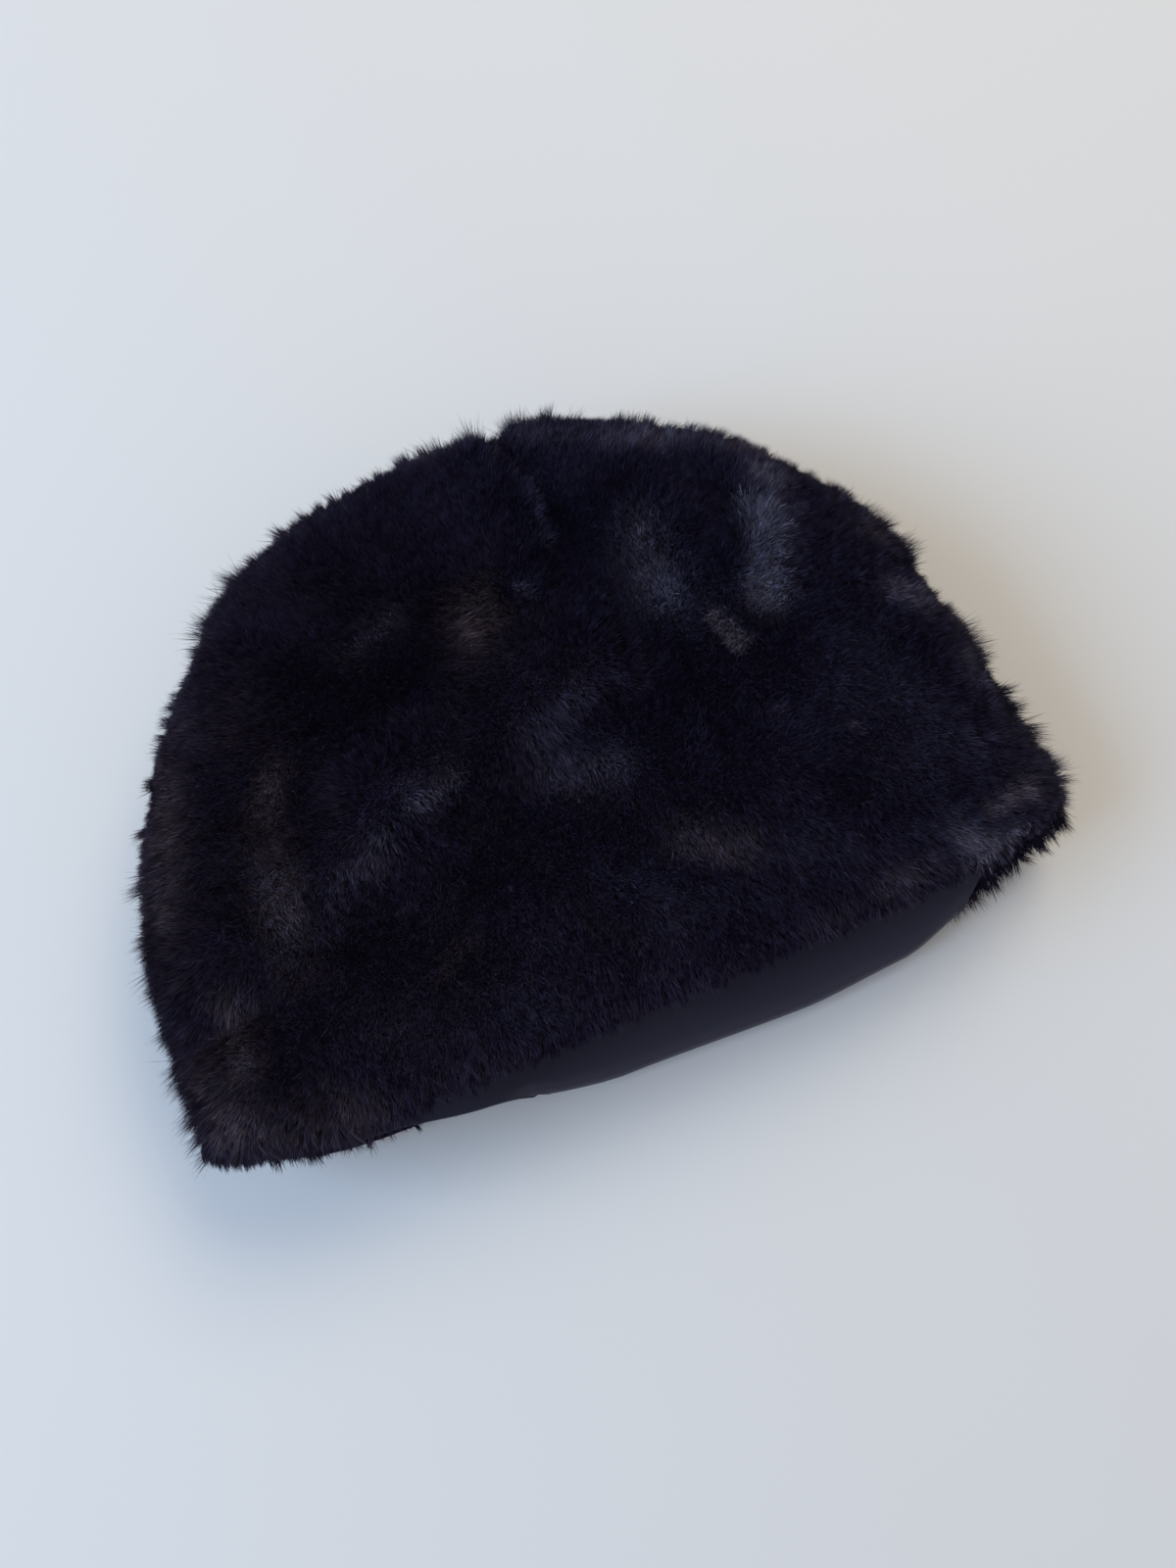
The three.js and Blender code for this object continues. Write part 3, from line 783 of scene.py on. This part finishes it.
def growFringe(material):
    tufts, tuftOf = fringe["tufts"], fringe["tuftOf"]
    t = dice.uniform(*fringe["from"], tufts)
    ring = (np.arange(tufts) + dice.uniform(0, 1, tufts)) * 4 / tufts
    atCorner = dice.uniform(size=tufts) < fringe["cornerShare"] * (ring > 2)
    cornerStart, cornerWide = fringe["cornerRing"]
    ring = np.where(atCorner, cornerStart + cornerWide * (ring - 2), ring)
    out, rimward, sideward = waysAt(t, ring)
    root = furPlace(t, ring, pileDepth(t, ring) * dice.uniform(*fringe["rootShare"], tufts))
    upper = np.sin(ring * np.pi / 2) > fringe["upperFrom"]
    length = dice.uniform(*fringe["reach"], tufts) * np.where(upper, 1.0, fringe["underReach"])
    corner = smooth(root[:, 0], fringe["cornerFrom"], fringe["cornerFull"]) * ~upper
    length *= 1 + fringe["cornerReach"] * corner
    left = np.exp(-(((root[:, 0] - fringe["leftMiddle"]) / fringe["leftWidth"]) ** 2))
    end = smooth(root[:, 0], fringe["endFrom"], fringe["endFull"])
    length *= (1 + fringe["leftReach"] * left * upper) * (1 - fringe["endShort"] * end * upper)
    # the upper fringe takes the patches' painted highlights, plus random tone per tuft
    tone = napLeanAndSheen(root, ring)[0] * upper + fringe["tuftTone"] * dice.normal(size=tufts)
    fan = fringe["tuftFan"] * dice.normal(size=tufts)
    shine = np.full(tufts, fringe["shine"])
    own = np.repeat(np.arange(tufts), tuftOf)
    n = len(own)
    o, r, s = out[own], rimward[own], sideward[own]
    angle, spread = dice.uniform(0, 2 * np.pi, n), np.sqrt(dice.uniform(size=n))
    offset = spread[:, None] * (np.cos(angle)[:, None] * o + np.sin(angle)[:, None] * s)
    fans = fan[own] + fringe["strandFan"] * dice.normal(size=n)
    ways = []
    for outShare, rimShare, roundShare, droop in fringe["ways"]:
        way = outShare * o + rimShare * r + roundShare * fans[:, None] * s
        ways.append(unit(way - droop * np.array([0, 0, 1.0])))
    first, second, third = ways
    step = (length[own] * dice.uniform(*fringe["lengthChange"], n) / 3)[:, None]
    one = root[own] + offset
    two = one + step * (first + 0.5 * second) - fringe["draw"][0] * offset
    tip = two + step * (0.5 * second + third) - fringe["draw"][1] * offset
    across = unit(np.cross(second, o) + fringe["twist"] * dice.normal(size=(n, 3)))
    across *= (pile["strandWidth"] / 2 * dice.uniform(*fringe["widthChange"], n))[:, None]
    for p in (one, two, tip):
        overFloor(p)
    tones = 0.5 + 0.5 * tone[own] * dice.uniform(*fringe["toneChange"], n)
    tones = np.clip(tones + fringe["strandTone"] * dice.normal(size=n), 0, 1)
    mesh = strandMesh("hem_fringe", np.stack([one, two], 1), tip, across, tones, shineOf(shine, tuftOf))
    placedPiece("hem_fringe", mesh, material, "pile")


# The lining: one bag, close behind the gores, rolled out over the under hem
lining = {
    "wall": 1.2,
    "room": 2.0,        # between it and the backing
    "rimRoom": 1.6,
    "looseOver": 0.14,  # the room grows over this share of the way up
    "aim": 0.03,
    "start": 0.012,
    "around": 176,
    "lipRows": 16,
    "bagRows": 40,
    "radius": 2.6,      # of the roll
    "rollFrom": 7.5,    # lip that begins to roll, and how much more it takes to roll over
    "rollOver": 4.0,
    "back": 4.5,
    # how far the lip comes out under the cap, by x along the rim
    "reachX": (-150, -88, -57, -11, 55, 88, 110, 124, 160),
    "reach": (2.5, 2.5, 7.0, 14, 16.5, 14.5, 9.5, 2.5, 2.5),
}


def liningPlace(t, ring):
    room = lining["rimRoom"] + (lining["room"] - lining["rimRoom"]) * smooth(t, 0, lining["looseOver"])
    root = backing(t, ring)
    p = backing(t, ring, form["backingWall"] + room + lining["wall"] / 2)
    p[..., 2] += foldLift(root[..., 0], root[..., 1]) * upperShare(ring)
    return p


def lipPlace(ring, share):            # share of the way out from the bag to the lip's edge
    at = np.full_like(ring, lining["start"])
    start = liningPlace(at, ring)
    outward = unit(start - liningPlace(at + lining["aim"], ring))
    down = pileWay(at, ring)
    xs, reaches = np.array(lining["reachX"], float), np.array(lining["reach"])
    i = np.clip(np.searchsorted(xs, start[:, 0]) - 1, 0, len(xs) - 2)
    between = (start[:, 0] - xs[i]) / (xs[i + 1] - xs[i])
    between = 0.5 * between + 0.5 * smooth(between, 0, 1)
    under = np.sin(ring * np.pi / 2) < 0
    reach = np.where(under, reaches[i] + (reaches[i + 1] - reaches[i]) * between, reaches[0])
    rolled = smooth(reach, lining["rollFrom"], lining["rollFrom"] + lining["rollOver"])
    turn = np.pi * rolled
    radius = lining["radius"]
    straight = reach - radius * np.sin(np.minimum(turn, np.pi / 2))
    walked = share * (straight + radius * turn + lining["back"] * rolled**2)
    turned = np.clip((walked - straight) / radius, 0, turn)
    returned = np.maximum(walked - straight - radius * turn, 0)
    out = np.minimum(walked, straight) + radius * np.sin(turned) + returned * np.cos(turn)
    drop = radius * (1 - np.cos(turned))
    return start + out[:, None] * outward + drop[:, None] * down


def makeLining(material):
    rows = lining["lipRows"] + lining["bagRows"]
    bm = bmesh.new()
    bmesh.ops.create_grid(bm, x_segments=lining["around"], y_segments=rows, size=0.5)
    grid = np.array([v.co for v in bm.verts])
    ring = (grid[:, 0] + 0.5) * 4
    row = (grid[:, 1] + 0.5) * rows
    lip = row < lining["lipRows"]
    place = np.empty((len(grid), 3))
    place[lip] = lipPlace(ring[lip], 1 - row[lip] / lining["lipRows"])
    t = lining["start"] + (1 - lining["start"]) * (row[~lip] - lining["lipRows"]) / lining["bagRows"]
    place[~lip] = liningPlace(t, ring[~lip])
    for vert, p in zip(bm.verts, toFrame(place)):
        vert.co = p
    bmesh.ops.remove_doubles(bm, verts=bm.verts[:], dist=weld)
    bmesh.ops.recalc_face_normals(bm, faces=bm.faces[:])
    mesh = bpy.data.meshes.new("lining_bag")
    bm.to_mesh(mesh)
    bm.free()
    piece = placedPiece("lining_bag", mesh, material, "lining", "lining")
    wall = piece.modifiers.new("wall", "SOLIDIFY")
    wall.thickness = lining["wall"] * mm
    wall.offset = 0.0


def everywhere(t, ring):
    return np.ones_like(t)


def mostAtTheSides(t, ring):          # the pressed pile underneath is thin
    low = np.clip(-np.sin(ring * np.pi / 2), 0, 1)
    return 1 - pile["thin"] * smooth(low, *pile["thinFrom"]) * (1 - smooth(t, *pile["thinCrown"]))


def makeCap():
    group = toneGroup()
    furMaterial = pileMaterial("black pile", group, pileLook["gloss"])
    underMaterial = underfurMaterial(group)
    for node, start in gores.items():
        makeCloth(node, start, underMaterial)
    print("cloth of", len(gores), "gores made")
    half, upper, under = pile["half"], pile["upperStrands"], pile["underStrands"]
    for node, start in gores.items():
        if node.startswith("gore_top"):
            growPile(node + "_pile_rim", start, 0, half, upper, everywhere, furMaterial)
            growPile(node + "_pile_crown", start, half, 1, upper, everywhere, furMaterial)
        else:
            growPile(node + "_pile", start, 0, 1, under, mostAtTheSides, furMaterial)
    growFringe(pileMaterial("hem pile", group, pileLook["fringeGloss"]))
    print("pile grown")
    makeLining(liningMaterial())
    print("lining made")


# Floor, lights and camera
stage = {
    "floor": (0.78, 0.78, 0.78),
    "floorRoughness": 0.7,
    "reach": 3.0,
    "sky": (0.99, 0.97, 1.0),
    "skyStrength": 0.36,
    "aim": (0.0, 0.0, 0.04),
    # name: place, size, colour, watts
    "window": ((-1.7, 0.35, 1.25), 1.4, (0.48, 0.70, 1.0), 37.0),
    "lamp": ((1.05, 1.05, 1.7), 1.2, (1.0, 0.86, 0.62), 20.8),
}


def makeFloor():
    bm = bmesh.new()
    bmesh.ops.create_grid(bm, x_segments=1, y_segments=1, size=stage["reach"])
    mesh = bpy.data.meshes.new("floor")
    bm.to_mesh(mesh)
    bm.free()
    material, _, _, shader = newMaterial("pale floor")
    shader.inputs["Base Color"].default_value = (*stage["floor"], 1)
    shader.inputs["Roughness"].default_value = stage["floorRoughness"]
    mesh.materials.append(material)
    floor = bpy.data.objects.new("floor", mesh)
    bpy.context.scene.collection.objects.link(floor)


def makeLight(name):
    place, size, colour, watts = stage[name]
    light = bpy.data.lights.new(name, "AREA")
    light.size = size
    light.color = colour
    light.energy = watts
    lamp = bpy.data.objects.new(name, light)
    lamp.location = place
    lamp.rotation_euler = (Vector(stage["aim"]) - Vector(place)).to_track_quat("-Z", "Y").to_euler()
    bpy.context.scene.collection.objects.link(lamp)


def makeSky():
    world = bpy.data.worlds.new("soft sky")
    world.use_nodes = True
    back = world.node_tree.nodes["Background"]
    back.inputs["Color"].default_value = (*stage["sky"], 1)
    back.inputs["Strength"].default_value = stage["skyStrength"]
    bpy.context.scene.world = world


camera = {
    "place": (-23.0, -88.6, 474.2),
    "azimuth": -22.4,
    "elevation": 80.0,
    "lens": 32.0,
    "sensor": 36.0,
    "nearest": 0.01,
}


def makeCamera():
    turn, rise = np.radians(camera["azimuth"]), np.radians(camera["elevation"])
    right = Vector((np.cos(turn), np.sin(turn), 0))
    up = Vector((-np.sin(turn) * np.sin(rise), np.cos(turn) * np.sin(rise), np.cos(rise)))
    lens = bpy.data.cameras.new("camera")
    lens.lens = camera["lens"]
    lens.sensor_width = camera["sensor"]
    lens.clip_start = camera["nearest"]
    eye = bpy.data.objects.new("camera", lens)
    turned = Matrix((right, up, right.cross(up))).transposed()
    eye.matrix_world = Matrix.Translation(Vector(camera["place"]) * mm) @ turned.to_4x4()
    bpy.context.scene.collection.objects.link(eye)
    bpy.context.scene.camera = eye


makeCamera()
makeFloor()
makeSky()
makeLight("window")
makeLight("lamp")
bpy.context.scene.view_settings.view_transform = "Standard"
makeCap()
